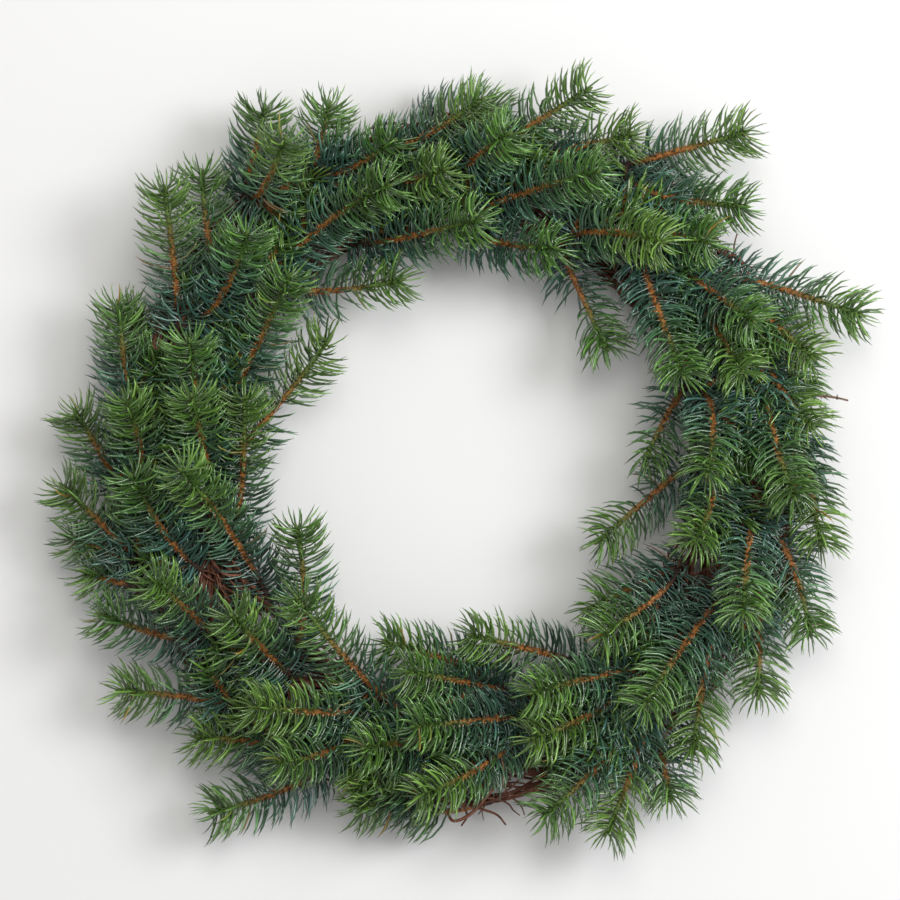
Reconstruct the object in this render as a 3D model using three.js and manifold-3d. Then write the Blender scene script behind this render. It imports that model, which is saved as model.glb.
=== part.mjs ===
// A fresh evergreen wreath, lying flat: sprays of spruce tips, wired on a ring of thin woody vines.
// Millimetres. +Z is up, out of the wreath's face. The origin is the ring's centre, on the table.
import * as THREE from "three";
import { mergeVertices } from "three/addons/utils/BufferGeometryUtils.js";
import Module from "manifold-3d";

// Ring of vines: strands wind round the ring's centre circle, in two lays that cross and hold each other
const RING_RADIUS = 157;
const OUTER_LAY = { strands: 4, turns: 2, halfWidth: 28, halfHeight: 13 };
const INNER_LAY = { strands: 2, turns: -3, halfWidth: 25, halfHeight: 10.5 };
const VINE_RADIUS = 3;
const VINE_SIDES = 5;
const VINE_STEPS = 30;
const BARE_TWIG = { foot: [172, 39, 27], bend: [196, 42, 31], end: [212, 33, 30], radius: 1.3 };
const BARE_TWIG_TAPER = [0.6, 1, 1.2];

// Binding wire: square wire wound round the bundle, an eight-sided turn at a time, flat underneath
const WIRE_TURNS = 15;
const WIRE_STEPS_A_TURN = 8;
const WIRE_HALF_SIZE = 0.7;
const WIRE_HALF_WIDTH = 34.6;
const WIRE_HALF_HEIGHT = 18.4;
const WIRE_FIRST_ANGLE = 19;

// Twigs of the sprays
const TWIG_SIDES = 3;
const TWIG_RADIUS_ROOT = 1.75;
const TWIG_RADIUS_TIP = 1.15;
const BARE_LENGTH = 14;
const BARE_ROWS = 3;
const SETBACK = 11;
const FOOT_RISE = 6;
const FORK_LENGTH = 10;

// Needles: raised from the twig's faces in whorls of six, steeper and longer towards the foot
const WHORL_SPACING = 11;
const WHORL_BAND = 2.4;
const CROWN_LENGTH = 16.5;
const BASE_LENGTH = 22;
const LENGTH_SPREAD = 0.1;
const UNDERSIDE_SHORTER = 0.2;
const LENGTH_SHARES = [1, 0.8, 0.6];
const CROWN_LEAN = 21;
const BASE_LEAN = 62;
const LEAST_LEAN = 12;
const LEAN_SPREAD = 8;
const TWIST_SPREAD = 12;
const TERMINAL_LENGTH = 14;
const NEEDLE_RADIUS = 1.6;
const POINT_RADIUS = 0.05;
const LEAST_RISE = 3;

// Room that the pieces leave each other, and the space that the wreath keeps open
const GAP = 0.3;
const OWN_GAP = 0.08;
const ROOM_CELL = 12;
const FLOOR_CLEARANCE = 1.2;
const HOLE = [
  [-57, -74, 61, 78],
  [-85, -20, 88, 30],
];

// Sprays, clockwise from the left. Each tip is its foot's x, y, then its end's x, y and height, and where the
// twig is bent or comes from further off, its root's x, y. Two tips in a row share a forked stem.
const SPRAYS = [
  [[-176, 18, -184, 84, 40]],
  [[-185, -8, -207, 26, 30], [-161, -12, -178, 31, 58]],
  [[-176, -50, -213, -14, 38], [-168, -60, -210, -41, 22]],
  [[-152, -55, -174, -9, 64]],
  [[-142, 25, -144, 63, 62], [-120, 38, -91, 98, 66]],
  [[-135, -5, -142, 34, 72], [-98, 28, -70, 66, 38]],
  [[-118, -40, -147, -5, 80, -103, -84]],
  [[-116, -34, -115, 33, 55]],
  [[-149, 74, -158, 146, 52], [-127, 76, -113, 121, 72]],
  [[-134, 100, -139, 155, 34]],
  [[-114, 150, -105, 190, 36], [-110, 130, -93, 172, 66]],
  [[-78, 155, -70, 192, 34], [-66, 150, -36, 172, 54]],
  [[-71, 135, -38, 147, 74, -106, 86], [-84, 87, -32, 98, 44]],
  [[-36, 162, 12, 195, 48], [-42, 143, -8, 156, 70]],
  [[18, 170, 69, 200, 48], [-8, 152, 26, 175, 70]],
  [[8, 139, 73, 155, 72], [8, 117, 51, 115, 60]],
  [[-50, 116, 10, 129, 72]],
  [[54, 168, 92, 176, 50]],
  [[56, 111, 80, 63, 42], [64, 131, 108, 118, 72]],
  [[92, 161, 154, 178, 40], [84, 143, 154, 138, 46]],
  [[150, 104, 217, 80, 38], [166, 80, 191, 57, 44]],
  [[106, 127, 133, 118, 62], [100, 102, 120, 47, 70]],
  [[126, 100, 157, 76, 68], [136, 75, 153, 48, 66]],
  [[164, 50, 190, 20, 48], [163, 28, 180, -18, 66]],
  [[118, 36, 101, 1, 42], [145, 42, 133, -5, 74]],
  [[122, -3, 77, -42, 40, 130, 3], [149, -9, 126, -42, 70]],
  [[187, 14, 196, -44, 44]],
  [[157, -32, 152, -80, 76], [181, -38, 191, -92, 36]],
  [[118, -58, 71, -79, 38], [122, -66, 77, -93, 60]],
  [[138, -74, 99, -130, 72], [135, -98, 127, -156, 46]],
  [[164, -82, 163, -125, 36]],
  [[106, -145, 81, -199, 42], [98, -147, 47, -190, 52]],
  [[92, -110, 41, -123, 70], [88, -134, 40, -148, 62]],
  [[22, -122, -26, -113, 60], [10, -110, -38, -98, 38]],
  [[58, -106, 8, -94, 42]],
  [[35, -139, -22, -141, 72], [38, -158, -20, -179, 58]],
  [[-22, -182, -55, -187, 30]],
  [[-15, -148, -49, -153, 66], [-52, -122, -86, -73, 68]],
  [[-52, -139, -109, -131, 68], [-56, -159, -96, -161, 60]],
  [[-92, -181, -132, -190, 32, -72, -172]],
  [[-95, -112, -120, -83, 72], [-78, -85, -87, -37, 42]],
  [[-124, -129, -182, -124, 32]],
  [[-98, -152, -141, -149, 34]],
  [[-132, -91, -162, -64, 72, -126, -95], [-142, -103, -192, -83, 42]],
];

// Low sprays on the outer flank, under the others: each one's angle round the ring
const LOW_ANGLES = [25, 61, 97, 133, 169, 205, 241, 277, 313, 349];
const LOW_ROOT = { radius: 178, height: 12 };
const LOW_MIDDLE_OUT = 37;
const LOW_END = { radius: 191, height: 19, ahead: 0.24 };
const SEED = 20;

const wasm = await Module();
wasm.setup();

const RING_HEIGHT = (WIRE_HALF_HEIGHT + WIRE_HALF_SIZE) * Math.cos(Math.PI / WIRE_STEPS_A_TURN);
const BUNDLE_HALF_WIDTH = OUTER_LAY.halfWidth + VINE_RADIUS;
const BUNDLE_HALF_HEIGHT = OUTER_LAY.halfHeight + VINE_RADIUS;
const UP = new THREE.Vector3(0, 0, 1);
const degrees = THREE.MathUtils.degToRad;
const lerp = THREE.MathUtils.lerp;

// A point of the ring's section: the angle round the ring, the distance out from its centre circle, the height.
function ringPoint(angle, out, height) {
  const radius = RING_RADIUS + out;
  return new THREE.Vector3(radius * Math.cos(angle), radius * Math.sin(angle), height);
}

// The centre line of one strand of a lay, at an angle round the ring.
function strandPoint(lay, strand, angle) {
  const turn = (2 * Math.PI * strand) / lay.strands + lay.turns * angle;
  return ringPoint(angle, lay.halfWidth * Math.cos(turn), RING_HEIGHT + lay.halfHeight * Math.sin(turn));
}

function cleaned(geometry) {
  geometry.deleteAttribute("normal");
  geometry.deleteAttribute("uv");
  return mergeVertices(geometry, 1e-4);
}

function solidOf(geometry) {
  return new wasm.Manifold(
    new wasm.Mesh({
      numProp: 3,
      vertProperties: geometry.attributes.position.array,
      triVerts: new Uint32Array(geometry.index.array),
    }),
  );
}

function geometryOf(solid) {
  const mesh = solid.getMesh();
  return new THREE.BufferGeometry()
    .setAttribute("position", new THREE.BufferAttribute(mesh.vertProperties, 3))
    .setIndex(new THREE.BufferAttribute(mesh.triVerts, 1));
}

function largestPiece(solid) {
  return solid.decompose().reduce((a, b) => (a.volume() > b.volume() ? a : b));
}

// A closed loop of round or square rod: a torus whose rings are moved onto the path. frameAt(share) gives
// the centre and the two directions of the section.
function loopGeometry(frameAt, radius, sides, steps, firstCorner) {
  const geometry = new THREE.TorusGeometry(1, 0.5, sides, steps);
  const { position, uv } = geometry.attributes;
  for (let i = 0; i < position.count; i++) {
    const { centre, outward, upward } = frameAt(uv.getX(i) % 1);
    const corner = 2 * Math.PI * uv.getY(i) + firstCorner;
    centre.addScaledVector(outward, radius * Math.cos(corner));
    centre.addScaledVector(upward, radius * Math.sin(corner));
    position.setXYZ(i, centre.x, centre.y, centre.z);
  }
  return cleaned(geometry);
}

function vineGeometry(lay, strand, radius) {
  const frameAt = (share) => {
    const angle = 2 * Math.PI * share;
    const centre = strandPoint(lay, strand, angle);
    const along = strandPoint(lay, strand, angle + 0.01).sub(strandPoint(lay, strand, angle - 0.01)).normalize();
    const upward = UP.clone().addScaledVector(along, -along.z).normalize();
    return { centre, outward: along.cross(upward), upward };
  };
  return loopGeometry(frameAt, radius, VINE_SIDES, VINE_STEPS, 0);
}

function wireCorner(step) {
  const turn = (2 * Math.PI * (step - 1.5)) / WIRE_STEPS_A_TURN;
  const angle = degrees(WIRE_FIRST_ANGLE) + (2 * Math.PI * step) / (WIRE_TURNS * WIRE_STEPS_A_TURN);
  const centre = ringPoint(angle, WIRE_HALF_WIDTH * Math.cos(turn), RING_HEIGHT + WIRE_HALF_HEIGHT * Math.sin(turn));
  return { centre, turn, angle };
}

function wireGeometry() {
  const steps = WIRE_TURNS * WIRE_STEPS_A_TURN;
  const frameAt = (share) => {
    const { centre, turn, angle } = wireCorner(Math.round(share * steps));
    const outward = ringPoint(angle, Math.cos(turn) - RING_RADIUS, Math.sin(turn));
    const upward = new THREE.Vector3(Math.sin(angle), -Math.cos(angle), 0);
    return { centre, outward, upward };
  };
  return loopGeometry(frameAt, WIRE_HALF_SIZE * Math.SQRT2, 4, steps, Math.PI / 4);
}

// The directions across a curve: to its right and upwards, and along it.
function crossFrame(curve, share) {
  const along = curve.getTangentAt(share);
  const side = along.clone().cross(UP).normalize();
  const rise = side.clone().cross(along);
  return { centre: curve.getPointAt(share), along, side, rise };
}

// A closed rod along a curve: a cylinder whose rows are moved onto it. Row 0 is the far end. rows gives each
// row's share of the curve, radius and turn, and cap the length of the point that stands on the far end.
function rodGeometry(curve, rows, sides, cap) {
  const last = rows.length - 1;
  const geometry = new THREE.CylinderGeometry(1, 1, 1, sides, last);
  const { position } = geometry.attributes;
  const frames = rows.map((row) => crossFrame(curve, row.share));
  for (let i = 0; i < position.count; i++) {
    const index = Math.round((0.5 - position.getY(i)) * last);
    const rim = Math.hypot(position.getX(i), position.getZ(i));
    const corner = Math.atan2(position.getZ(i), position.getX(i)) + rows[index].turn;
    const { centre, along, side, rise } = frames[index];
    const point = centre.clone().addScaledVector(side, rim * rows[index].radius * Math.cos(corner));
    point.addScaledVector(rise, rim * rows[index].radius * Math.sin(corner));
    point.addScaledVector(along, index === 0 && rim < 0.5 ? cap : 0);
    position.setXYZ(i, point.x, point.y, point.z);
  }
  return cleaned(geometry);
}

// Random numbers from a fixed seed, so that each run grows the same wreath.
function seededRandom(seed) {
  let state = seed;
  return () => {
    state = (state + 0x6d2b79f5) | 0;
    let t = Math.imul(state ^ (state >>> 15), 1 | state);
    t = (t + Math.imul(t ^ (t >>> 7), 61 | t)) ^ t;
    return ((t ^ (t >>> 14)) >>> 0) / 4294967296;
  };
}

// Tapered rods that are already in place, kept by the cells of space they pass through.
class Room {
  constructor(cell) {
    this.cell = cell;
    this.cells = new Map();
  }

  keysOf(rod) {
    const box = new THREE.Box3().setFromPoints([rod.line.start, rod.line.end]);
    box.expandByScalar(Math.max(rod.startRadius, rod.endRadius) + GAP);
    const low = box.min.divideScalar(this.cell).floor();
    const high = box.max.divideScalar(this.cell).floor();
    const keys = [];
    for (let x = low.x; x <= high.x; x++)
      for (let y = low.y; y <= high.y; y++)
        for (let z = low.z; z <= high.z; z++) keys.push(`${x},${y},${z}`);
    return keys;
  }

  add(rod) {
    for (const key of this.keysOf(rod)) {
      if (!this.cells.has(key)) this.cells.set(key, []);
      this.cells.get(key).push(rod);
    }
  }

  near(rod) {
    return new Set(this.keysOf(rod).flatMap((key) => this.cells.get(key) ?? []));
  }
}

const nearA = new THREE.Vector3();
const nearB = new THREE.Vector3();

function radiusAt(rod, point) {
  const share = rod.line.start.distanceTo(point) / rod.line.distance();
  return lerp(rod.startRadius, rod.endRadius, share);
}

// Whether two tapered rods keep a gap, tested where they come nearest and at each one's ends.
function keepsGap(a, b, gap) {
  a.line.distanceSqToLine3(b.line, nearA, nearB);
  if (nearA.distanceTo(nearB) < radiusAt(a, nearA) + radiusAt(b, nearB) + gap) return false;
  for (const [one, other] of [[a, b], [b, a]])
    for (const share of [0.05, 0.25, 0.5, 1]) {
      one.line.at(share, nearA);
      other.line.closestPointToPoint(nearA, true, nearB);
      if (nearA.distanceTo(nearB) < radiusAt(one, nearA) + radiusAt(other, nearB) + gap) return false;
    }
  return true;
}

function rodBetween(start, end, startRadius, endRadius, tip, whorl) {
  return { line: new THREE.Line3(start, end), startRadius, endRadius, tip, whorl };
}

// The height of the bundle's top over a place on the table.
function bundleTop(x, y) {
  const across = Math.min(1, Math.abs(Math.hypot(x, y) - RING_RADIUS) / (BUNDLE_HALF_WIDTH + 1));
  return RING_HEIGHT + (BUNDLE_HALF_HEIGHT + 1) * Math.sqrt(1 - across * across);
}

// The point of the nearest strand's centre line, at the same angle round the ring as a place on the bundle.
function nearestVine(place) {
  const angle = Math.atan2(place.y, place.x);
  let best = null;
  for (const lay of [OUTER_LAY, INNER_LAY])
    for (let strand = 0; strand < lay.strands; strand++) {
      const point = strandPoint(lay, strand, angle);
      if (!best || point.distanceTo(place) < best.distanceTo(place)) best = point;
    }
  return best;
}

// A twig's curve, from its root in the bundle, up past its foot and on to its end.
function twigCurve([footX, footY, endX, endY, endZ, rootX, rootY], forkPoint) {
  const foot = new THREE.Vector3(footX, footY, bundleTop(footX, footY) + FOOT_RISE);
  const end = new THREE.Vector3(endX, endY, endZ);
  const back = new THREE.Vector2(footX - endX, footY - endY).setLength(SETBACK);
  const [x, y] = [rootX ?? footX + back.x, rootY ?? footY + back.y];
  const root = forkPoint ?? nearestVine(new THREE.Vector3(x, y, bundleTop(x, y)));
  return new THREE.QuadraticBezierCurve3(root, foot, end);
}

function lowTwigCurve(lowAngle) {
  const angle = degrees(lowAngle);
  const end = ringPoint(angle - LOW_END.ahead, LOW_END.radius - RING_RADIUS, LOW_END.height);
  const root = nearestVine(ringPoint(angle, LOW_ROOT.radius - RING_RADIUS, LOW_ROOT.height));
  const middle = ringPoint(angle - LOW_END.ahead / 2, LOW_MIDDLE_OUT, LOW_ROOT.height);
  return new THREE.QuadraticBezierCurve3(root, middle, end);
}

// One tip: its curve and the rows of its twig, short bands for the whorls with plain stretches between, then
// the bare stem down to the root.
function makeTip(curve, random) {
  const length = curve.getLength();
  const whorls = Math.round((length - BARE_LENGTH) / WHORL_SPACING);
  const spacing = (length - BARE_LENGTH - WHORL_BAND) / (whorls - 0.5);
  const rows = [];
  const addRow = (fromEnd, turn) => {
    const share = Math.max(0, 1 - fromEnd / length);
    rows.push({ share, radius: lerp(TWIG_RADIUS_ROOT, TWIG_RADIUS_TIP, share), turn });
  };
  let turn = random() * Math.PI;
  for (let whorl = 0; whorl < whorls; whorl++) {
    addRow(whorl * spacing, turn);
    turn += Math.PI / TWIG_SIDES;
    addRow(whorl * spacing + WHORL_BAND, turn);
    turn += Math.PI / TWIG_SIDES / 2;
  }
  const bareStart = (whorls - 1) * spacing + WHORL_BAND;
  for (let row = 1; row <= BARE_ROWS; row++) addRow(lerp(bareStart, length, row / BARE_ROWS), turn);
  const geometry = rodGeometry(curve, rows, TWIG_SIDES, TERMINAL_LENGTH);
  const points = Array.from(geometry.attributes.position.array);
  const faces = [];
  for (let i = 0; i < geometry.index.count; i += 3) faces.push(Array.from(geometry.index.array.slice(i, i + 3)));
  return { curve, rows, whorls, points, faces };
}

function facesOfWhorl(tip, whorl) {
  const stretches = tip.rows.length - 1;
  const faces = [];
  for (let side = 0; side < TWIG_SIDES; side++)
    for (const half of [0, 1]) faces.push((side * stretches + 2 * whorl) * 2 + half);
  return faces;
}

// Changes of lean and of direction round the twig, in degrees, that a needle tries in turn to find room.
const BENDS = [
  [0, 0], [-9, 0], [9, 0], [0, 15], [0, -15], [-10, 15], [-10, -15], [10, 15], [10, -15],
  [-18, 0], [18, 0], [-15, 28], [-15, -28], [4, 32], [4, -32],
];

// Whether a point stands over the open middle of the wreath.
function inHole({ x, y }) {
  return HOLE.some(([lowX, lowY, highX, highY]) => x > lowX && x < highX && y > lowY && y < highY);
}

function roomFor(needle, room) {
  const { start, end } = needle.line;
  if (Math.min(start.z, end.z) < FLOOR_CLEARANCE) return false;
  if (inHole(end) || inHole(needle.line.getCenter(nearA))) return false;
  for (const rod of room.near(needle)) {
    const own = rod.tip === needle.tip;
    if (own && (rod.whorl === null || rod.whorl === needle.whorl)) continue;
    if (!keepsGap(needle, rod, own ? OWN_GAP : GAP)) return false;
  }
  return true;
}

// Raises a needle from one face of the twig, where there is room for it.
function raiseNeedle(tip, whorl, face, room, random) {
  const corners = tip.faces[face].map((i) => new THREE.Vector3().fromArray(tip.points, 3 * i));
  const foot = new THREE.Triangle(...corners);
  const base = foot.getMidpoint(new THREE.Vector3());
  const plane = foot.getPlane(new THREE.Plane());
  const share = tip.rows[2 * whorl].share;
  const { centre, along, side, rise } = crossFrame(tip.curve, share);
  const spoke = base.clone().sub(centre);
  const direction = Math.atan2(spoke.dot(rise), spoke.dot(side));
  const down = Math.max(0, -Math.sin(direction));
  const towardsFoot = whorl / (tip.whorls - 1);
  const lean = lerp(CROWN_LEAN, BASE_LEAN, Math.sqrt(towardsFoot)) + LEAN_SPREAD * (random() - 0.5);
  const varied = (1 + LENGTH_SPREAD * (random() - 0.5)) * (1 - UNDERSIDE_SHORTER * down);
  const length = lerp(CROWN_LENGTH, BASE_LENGTH, towardsFoot) * varied;
  const twist = TWIST_SPREAD * (random() - 0.5);
  for (const shorter of LENGTH_SHARES)
    for (const [moreLean, moreTwist] of BENDS) {
      const needleLean = degrees(Math.max(LEAST_LEAN, lean + moreLean));
      const needleTurn = direction + degrees(twist + moreTwist);
      const heading = along.clone().multiplyScalar(Math.cos(needleLean));
      heading.addScaledVector(side, Math.sin(needleLean) * Math.cos(needleTurn));
      heading.addScaledVector(rise, Math.sin(needleLean) * Math.sin(needleTurn));
      const point = base.clone().addScaledVector(heading, length * shorter);
      const needle = rodBetween(base, point, NEEDLE_RADIUS, POINT_RADIUS, tip, whorl);
      if (plane.distanceToPoint(point) < LEAST_RISE || !roomFor(needle, room)) continue;
      room.add(needle);
      const apex = tip.points.length / 3;
      tip.points.push(point.x, point.y, point.z);
      const [a, b, c] = tip.faces[face];
      tip.faces[face] = [a, b, apex];
      tip.faces.push([b, c, apex], [c, a, apex]);
      return;
    }
}

function tipSolid(tip) {
  const geometry = new THREE.BufferGeometry()
    .setAttribute("position", new THREE.BufferAttribute(new Float32Array(tip.points), 3))
    .setIndex(tip.faces.flat());
  return solidOf(geometry);
}

// The vines, crossed and grown into one body. A larger radius gives the room that the sprays keep clear.
function ringSolid(radius) {
  const strands = [OUTER_LAY, INNER_LAY].flatMap((lay) =>
    Array.from({ length: lay.strands }, (_, strand) => solidOf(vineGeometry(lay, strand, radius))),
  );
  const [foot, bend, end] = [BARE_TWIG.foot, BARE_TWIG.bend, BARE_TWIG.end].map((p) => new THREE.Vector3(...p));
  const curve = new THREE.QuadraticBezierCurve3(nearestVine(foot), bend, end);
  const thick = BARE_TWIG.radius + radius - VINE_RADIUS;
  const rows = BARE_TWIG_TAPER.map((size, i) => ({ share: 1 - i / 2, radius: thick * size, turn: 0 }));
  return [...strands, solidOf(rodGeometry(curve, rows, 4, 1))].reduce((a, b) => a.add(b));
}

// Everything that a needle must leave room for, before the first needle grows.
function fixedRods(tips) {
  const rods = [];
  for (const lay of [OUTER_LAY, INNER_LAY])
    for (let strand = 0; strand < lay.strands; strand++)
      for (let step = 0; step < VINE_STEPS; step++) {
        const ends = [step, step + 1].map((s) => strandPoint(lay, strand, (2 * Math.PI * s) / VINE_STEPS));
        rods.push(rodBetween(...ends, VINE_RADIUS, VINE_RADIUS, null, null));
      }
  for (let step = 0; step < WIRE_TURNS * WIRE_STEPS_A_TURN; step++) {
    const ends = [step, step + 1].map((s) => wireCorner(s).centre);
    rods.push(rodBetween(...ends, WIRE_HALF_SIZE * 1.5, WIRE_HALF_SIZE * 1.5, null, null));
  }
  for (const tip of tips)
    for (let row = 1; row < tip.rows.length; row++) {
      const [far, near] = [tip.rows[row - 1], tip.rows[row]];
      const ends = [far, near].map(({ share }) => tip.curve.getPointAt(share));
      rods.push(rodBetween(...ends, far.radius, near.radius, tip, null));
    }
  return rods;
}

// Twigs first, then the needles of every tip, a whorl at a time from the crown down, so that each crown fills
// out before the lower needles take what room is left.
const random = seededRandom(SEED);
const picks = SPRAYS.map((spray) => {
  const first = twigCurve(spray[0]);
  const fork = first.getPointAt(Math.min(0.4, FORK_LENGTH / first.getLength()));
  return [first, ...spray.slice(1).map((tip) => twigCurve(tip, fork))];
});
for (const lowAngle of LOW_ANGLES) picks.push([lowTwigCurve(lowAngle)]);
const tipsOfPicks = picks.map((curves) => curves.map((curve) => makeTip(curve, random)));
const tips = tipsOfPicks.flat();
const room = new Room(ROOM_CELL);
for (const rod of fixedRods(tips)) room.add(rod);
for (const tip of tips) {
  const { centre, along } = crossFrame(tip.curve, 1);
  const point = centre.clone().addScaledVector(along, TERMINAL_LENGTH);
  room.add(rodBetween(centre, point, TWIG_RADIUS_TIP, POINT_RADIUS, tip, 0));
}
const mostWhorls = Math.max(...tips.map((tip) => tip.whorls));
for (let whorl = 0; whorl < mostWhorls; whorl++)
  for (const tip of tips.filter(({ whorls }) => whorl < whorls))
    for (const face of facesOfWhorl(tip, whorl)) raiseNeedle(tip, whorl, face, room, random);

const wreath = new THREE.Group();

function addMesh(name, geometry, material) {
  const mesh = new THREE.Mesh(geometry, material);
  mesh.name = name;
  wreath.add(mesh);
}

const bark = new THREE.MeshStandardMaterial({ color: 0x5c2c1b, roughness: 0.85, metalness: 0 });
const steel = new THREE.MeshStandardMaterial({ color: 0x4a4f49, roughness: 0.45, metalness: 0.9 });
const spruce = new THREE.MeshStandardMaterial({ color: 0x3c6a3a, roughness: 0.55, metalness: 0 });

addMesh("vine_ring", geometryOf(ringSolid(VINE_RADIUS)), bark);
addMesh("binding_wire", wireGeometry(), steel);

// Each spray is cut back where its root enters the vines.
const vineClearance = ringSolid(VINE_RADIUS + GAP / Math.cos(Math.PI / VINE_SIDES));
tipsOfPicks.forEach((pick, index) => {
  const joined = pick.map(tipSolid).reduce((a, b) => a.add(b));
  const seated = largestPiece(joined.subtract(vineClearance));
  addMesh(`spray_${String(index + 1).padStart(2, "0")}`, geometryOf(seated), spruce);
});

export default wreath;
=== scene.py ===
import math
import random

import bmesh
import bpy
from mathutils import Matrix, Quaternion, Vector


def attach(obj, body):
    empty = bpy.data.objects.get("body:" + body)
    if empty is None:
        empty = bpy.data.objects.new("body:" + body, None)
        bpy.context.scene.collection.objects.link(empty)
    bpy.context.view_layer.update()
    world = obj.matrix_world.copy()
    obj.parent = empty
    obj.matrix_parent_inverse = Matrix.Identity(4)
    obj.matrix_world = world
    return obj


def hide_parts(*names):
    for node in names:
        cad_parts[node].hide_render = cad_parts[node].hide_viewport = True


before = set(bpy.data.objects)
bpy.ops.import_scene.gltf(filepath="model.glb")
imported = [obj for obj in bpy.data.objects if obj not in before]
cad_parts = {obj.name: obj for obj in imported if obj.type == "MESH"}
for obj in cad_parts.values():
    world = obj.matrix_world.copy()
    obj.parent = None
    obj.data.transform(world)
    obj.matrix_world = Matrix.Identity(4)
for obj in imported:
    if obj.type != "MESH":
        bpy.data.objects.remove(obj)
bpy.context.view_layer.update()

# The vine ring: thin woody vines, cut green and wound into a ring while they still bend. Six ropes of four
# vines make two lays that cross and hold each other, with single thin vines, side shoots and torn ends in
# between. Lengths are in millimetres until a piece is finished, which brings it to metres.
METRES = 0.001
UP = Vector((0, 0, 1))
FULL_TURN = 2 * math.pi
RING_RADIUS = 157
RING_HEIGHT = 17.65
OUTER_LAY = {"strands": 4, "turns": 2, "half_width": 28, "half_height": 13}
INNER_LAY = {"strands": 2, "turns": -3, "half_width": 25, "half_height": 10.5}
ROPE_VINES = 4
ROPE_TURNS = 16
ROPE_OFFSET = 1.85
ROPE_SLACK, SLACK_WAVES = 0.5, 5
VINE_RADIUS = 1.1
VINE_STEPS = 168
VINE_SIDES = 6
SWELLING, SWELLING_WAVES = 0.1, 7
KNOTS, KNOT_WAVES = 0.06, 23
THIN_VINES = 64
THIN_VINE_STEPS = 64
THIN_VINE_SIDES = 5
THIN_VINE_REACH = (1.6, 4.2)
THIN_VINE_TURNS = [-5, -4, -3, 3, 4, 5]
THIN_VINE_OUT = (12, 30)
THIN_VINE_RISE = (5, 14.5)
THIN_VINE_RADIUS = (0.5, 1.1)
THIN_VINE_TAPER = 0.4
WANDER, WANDER_WAVES = 0.12, 9
STRAY_SIDES = 4
STRAY_STEPS = 4
STRAY_STEEPNESS = 0.4
STRAY_HEIGHTS = (3, RING_HEIGHT + 15)
TENDRILS = 190
TENDRIL_OUT = (-26, 26)
TENDRIL_RISE = (-4, 13)
TENDRIL = {"wander": 0.9, "reach": (5, 9), "radii": (0.45, 0.2)}
FRAYED_SPOTS = [(18, -177, 27), (-126, -58, 33), (118, -64, 30), (146, 108, 31)]
FRAYED_ENDS = 18
FRAYED_SPREAD, FRAYED_SINK = 7, 4
FRAYED_END = {"wander": 0.45, "reach": (3, 6), "radii": (0.65, 0.3)}
LOOSE_VINES = [
    [(-34, -176, 21), (-6, -184, 25), (10, -188, 27), (21, -192, 24), (26, -198, 17)],
    [(20, -176, 30), (8, -190, 33), (-2, -195, 31), (-5, -190, 29), (1, -186, 30), (5, -192, 29),
     (2, -198, 24)],
    [(-118, -62, 31), (-128, -60, 33), (-136, -48, 33), (-134, -38, 30)],
    [(146, 112, 31), (152, 111, 34), (156, 104, 31), (162, 96, 32), (163, 88, 29), (168, 80, 25)],
]
LOOSE_VINE_STEPS = 7
LOOSE_VINE_RADII = (1.15, 0.55)
VINE_STREAKS = 9
RED_BARK = [(0.3, (0.04, 0.013, 0.007)), (0.5, (0.15, 0.05, 0.026)), (0.75, (0.42, 0.17, 0.1))]
random.seed(7)
fray = random.Random(5)


def ring_point(angle, out, height):
    """A point of the ring's section: angle round the ring, distance out from its centre circle, height."""
    radius = RING_RADIUS + out
    return Vector((radius * math.cos(angle), radius * math.sin(angle), height))


def strand_point(lay, strand, angle):
    turn = FULL_TURN * strand / lay["strands"] + lay["turns"] * angle
    out = lay["half_width"] * math.cos(turn)
    return ring_point(angle, out, RING_HEIGHT + lay["half_height"] * math.sin(turn))


def section_at(centre, along, radius):
    """The matrix that puts a round section of radius 1 across a rod."""
    side = along.cross(UP).normalized()
    rise = side.cross(along).normalized()
    turned = Matrix((side * radius, rise * radius, along)).transposed().to_4x4()
    return Matrix.Translation(centre) @ turned


def sweep(bm, sections, distances, sides, closed=False):
    """Extrudes a ring of edges through the sections, and notes on each vertex where on the bark it lies."""
    rod = bmesh.new()
    grain = rod.verts.layers.float_vector.new("grain")
    verts = bmesh.ops.create_circle(rod, segments=sides, radius=1, matrix=sections[0])["verts"]
    edges = rod.edges[:]
    first = edges
    for index, section in enumerate(sections):
        if index:
            made = bmesh.ops.extrude_edge_only(rod, edges=edges)["geom"]
            verts = [item for item in made if isinstance(item, bmesh.types.BMVert)]
            ring = set(verts)
            edges = [e for e in made if isinstance(e, bmesh.types.BMEdge) and ring.issuperset(e.verts)]
            bmesh.ops.transform(rod, matrix=section @ sections[index - 1].inverted(), verts=verts)
        back = section.inverted()
        for vert in verts:
            place = back @ vert.co
            vert[grain] = (place.x, place.y, distances[index])
    if closed:
        bmesh.ops.bridge_loops(rod, edges=first + edges)
    else:
        bmesh.ops.edgeloop_fill(rod, edges=first)
        bmesh.ops.edgeloop_fill(rod, edges=edges)
    mesh = bpy.data.meshes.new("rod")
    rod.to_mesh(mesh)
    rod.free()
    bm.from_mesh(mesh)
    bpy.data.meshes.remove(mesh)


def smooth_path(points, steps):
    """Points along a smooth curve through the given ones."""
    points = [Vector(p) for p in points]
    ends = [2 * points[0] - points[1], *points, 2 * points[-1] - points[-2]]
    path = []
    for i in range(1, len(ends) - 2):
        before, start, end, after = ends[i - 1 : i + 3]
        for step in range(steps):
            t = step / steps
            path.append(
                0.5 * (2 * start + (end - before) * t + (2 * before - 5 * start + 4 * end - after) * t**2)
                + 0.5 * (3 * start - before - 3 * end + after) * t**3
            )
    return [*path, points[-1]]


def tapered(radii, count):
    thick, thin = radii
    return [thick + (thin - thick) * i / count for i in range(count)]


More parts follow.
